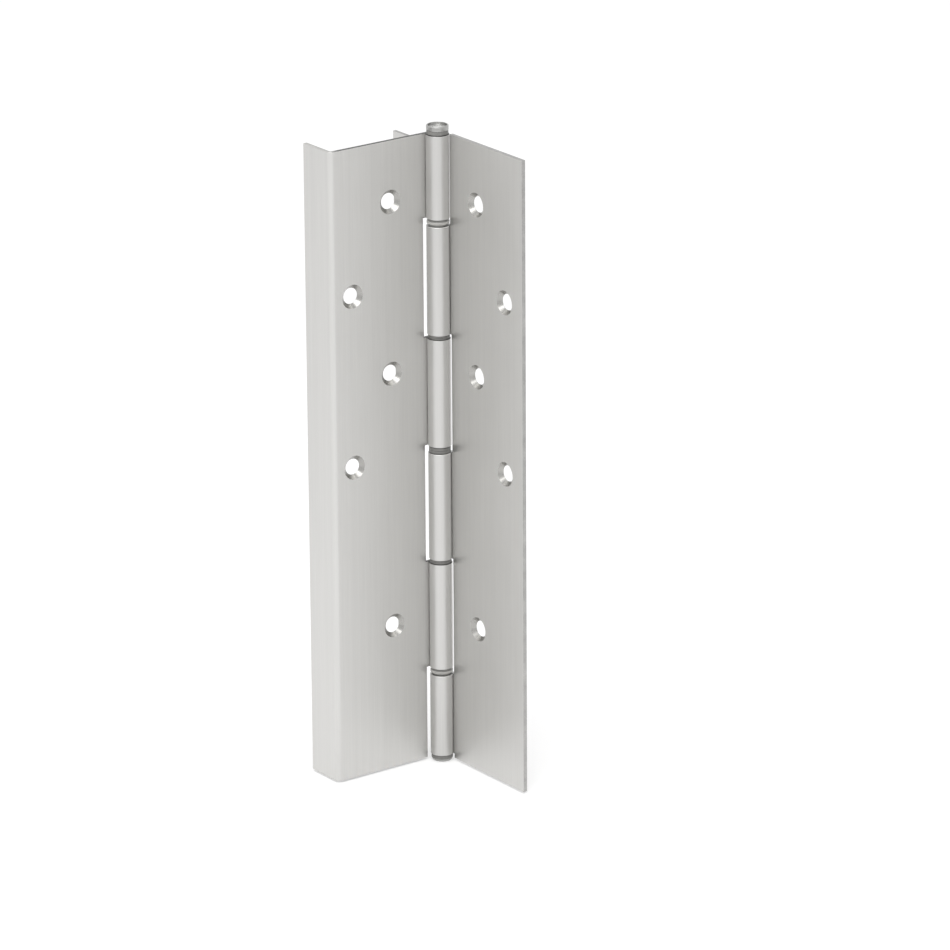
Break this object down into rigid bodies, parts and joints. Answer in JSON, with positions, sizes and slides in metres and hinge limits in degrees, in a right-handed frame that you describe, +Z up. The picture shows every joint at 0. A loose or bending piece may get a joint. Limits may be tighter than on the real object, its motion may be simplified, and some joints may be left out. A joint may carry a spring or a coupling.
{
  "type": "continuous hinge",
  "caption": "Continuous pin-and-barrel hinge of folded stainless sheet: flat frame leaf, door leaf with two flanges that wrap the door's edge.",
  "frame": {"origin": "centre of the frame leaf's back face, the face that lies on the jamb", "axes": "+X out of the frame leaf's back face into the jamb; +Y across the frame leaf from its free edge towards the hinge line; +Z up along the hinge line. At rest the hinge is open at a right angle, with the door leaf running along -X and its back facing +Y"},
  "size_m": [0.0586, 0.0773, 0.2872],
  "materials": {
    "leaf_steel": "satin stainless sheet with a fine vertical grain",
    "pin_steel": "turned stainless",
    "bearing_nylon": "moulded grey nylon"
  },
  "bodies": {
    "frame": {"frame_leaf": "leaf_steel", "hinge_pin": "pin_steel", "top_collar": "pin_steel", "bottom_collar": "pin_steel", "top_washer": "bearing_nylon", "bottom_washer": "bearing_nylon", "frame_bearing_1": "bearing_nylon", "frame_bearing_2": "bearing_nylon", "frame_bearing_3": "bearing_nylon", "frame_bearing_4": "bearing_nylon", "frame_bearing_5": "bearing_nylon"},
    "door": {"door_leaf": "leaf_steel", "door_inner_flange": "leaf_steel", "door_bearing_1": "bearing_nylon", "door_bearing_2": "bearing_nylon", "door_bearing_3": "bearing_nylon", "door_bearing_4": "bearing_nylon", "door_bearing_5": "bearing_nylon"}
  },
  "joints": [
    {"name": "door_swing", "type": "hinge", "parent": "frame", "child": "door", "pos_m": [-0.0051, 0.0275, 0], "axis": [0, 0, -1], "range_deg": [-90, 150]}
  ]
}
